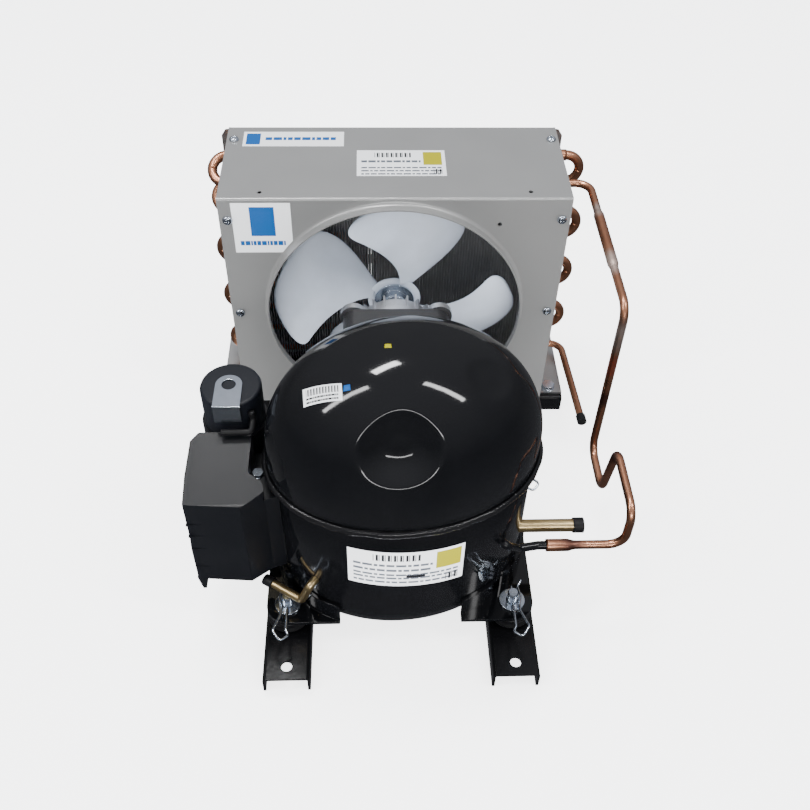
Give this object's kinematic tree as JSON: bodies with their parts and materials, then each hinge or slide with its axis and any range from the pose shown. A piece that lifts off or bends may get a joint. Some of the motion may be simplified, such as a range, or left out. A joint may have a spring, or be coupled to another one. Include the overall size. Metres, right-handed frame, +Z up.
{
  "type": "condensing_unit",
  "caption": "Air-cooled condensing unit: black hermetic compressor on two rails, finned copper coil with a grey fan shroud, start capacitor and copper lines.",
  "frame": {"origin": "on the floor under the middle of the unit's bounding box", "axes": "+Z up, -Y toward the compressor end (the front), +Y toward the coil, +X to the right seen from the front"},
  "size_m": [0.3224, 0.379, 0.245],
  "materials": {
    "base_paint": "satin black baked paint",
    "shell_paint": "gloss black enamel",
    "shroud_paint": "satin grey paint",
    "galvanised": "galvanised sheet",
    "zinc": "bright zinc plate",
    "steel": "machined steel",
    "iron": "cast or laminated iron",
    "copper": "drawn copper with braze colours",
    "aluminium_cast": "die cast",
    "aluminium_fin": "thin sheet",
    "fan_plastic": "pale blue grey moulding",
    "black_plastic": "fine textured moulding",
    "cream_plastic": "phenolic moulding",
    "rubber": "moulded rubber"
  },
  "bodies": {
    "chassis": {"base_rail_left": "base_paint", "base_rail_right": "base_paint", "rear_crossmember": "base_paint", "mounting_studs": "steel", "rubber_grommets": "rubber", "stud_washers": "zinc", "hairpin_clips": "zinc", "compressor_lower_shell": "shell_paint", "compressor_upper_shell": "shell_paint", "shell_weld_bead": "shell_paint", "foot_bracket_left": "base_paint", "foot_bracket_right": "base_paint", "suction_stub": "copper", "suction_cap": "rubber", "process_tube": "copper", "process_cap": "rubber", "discharge_stub": "shell_paint", "discharge_line": "copper", "line_coupling": "copper", "hermetic_terminal": "steel", "start_relay": "cream_plastic", "overload_protector": "black_plastic", "electrical_cover": "black_plastic", "start_capacitor": "black_plastic", "capacitor_strap": "zinc", "capacitor_lead": "black_plastic", "earth_screw": "zinc", "fin_pack": "aluminium_fin", "hairpin_tubes": "copper", "return_bends": "copper", "inlet_tube": "copper", "outlet_tube": "copper", "outlet_cap": "rubber", "end_plate_left": "galvanised", "end_plate_right": "galvanised", "foot_bolts": "zinc", "fan_shroud": "shroud_paint", "shroud_screws": "zinc", "motor_front_cover": "aluminium_cast", "motor_stator": "iron", "motor_windings": "copper", "motor_rear_cover": "aluminium_cast", "motor_bracket": "base_paint", "motor_bolts": "zinc", "bracket_bolts": "zinc", "pump_stator": "iron", "pump_windings": "copper", "cylinder_block": "iron", "cylinder_head": "iron", "suspension_springs": "steel"},
    "fan_rotor": {"motor_rotor": "iron", "motor_shaft": "steel", "fan_blades": "fan_plastic", "fan_hub": "aluminium_cast"},
    "crank": {"pump_rotor": "aluminium_cast", "crankshaft": "steel"},
    "piston_body": {"piston": "steel", "wrist_pin": "steel"},
    "rod_body": {"connecting_rod": "steel"}
  },
  "joints": [
    {"name": "fan_spin", "type": "hinge", "parent": "chassis", "child": "fan_rotor", "pos_m": [-0.00625, 0.0855, 0.1235], "axis": [0, 1, 0], "continuous": true},
    {"name": "crank_turn", "type": "hinge", "parent": "chassis", "child": "crank", "pos_m": [-0.00425, -0.0872, 0.1], "axis": [0, 0, 1], "continuous": true},
    {"name": "piston_slide", "type": "slide", "parent": "chassis", "child": "piston_body", "axis": [0.9914, 0.1305, 0], "range_m": [-0.007, 0.007]},
    {"name": "rod_swing", "type": "hinge", "parent": "piston_body", "child": "rod_body", "pos_m": [0.02946, -0.08276, 0.16], "axis": [0, 0, 1], "range_deg": [-11.9, 11.9]}
  ]
}
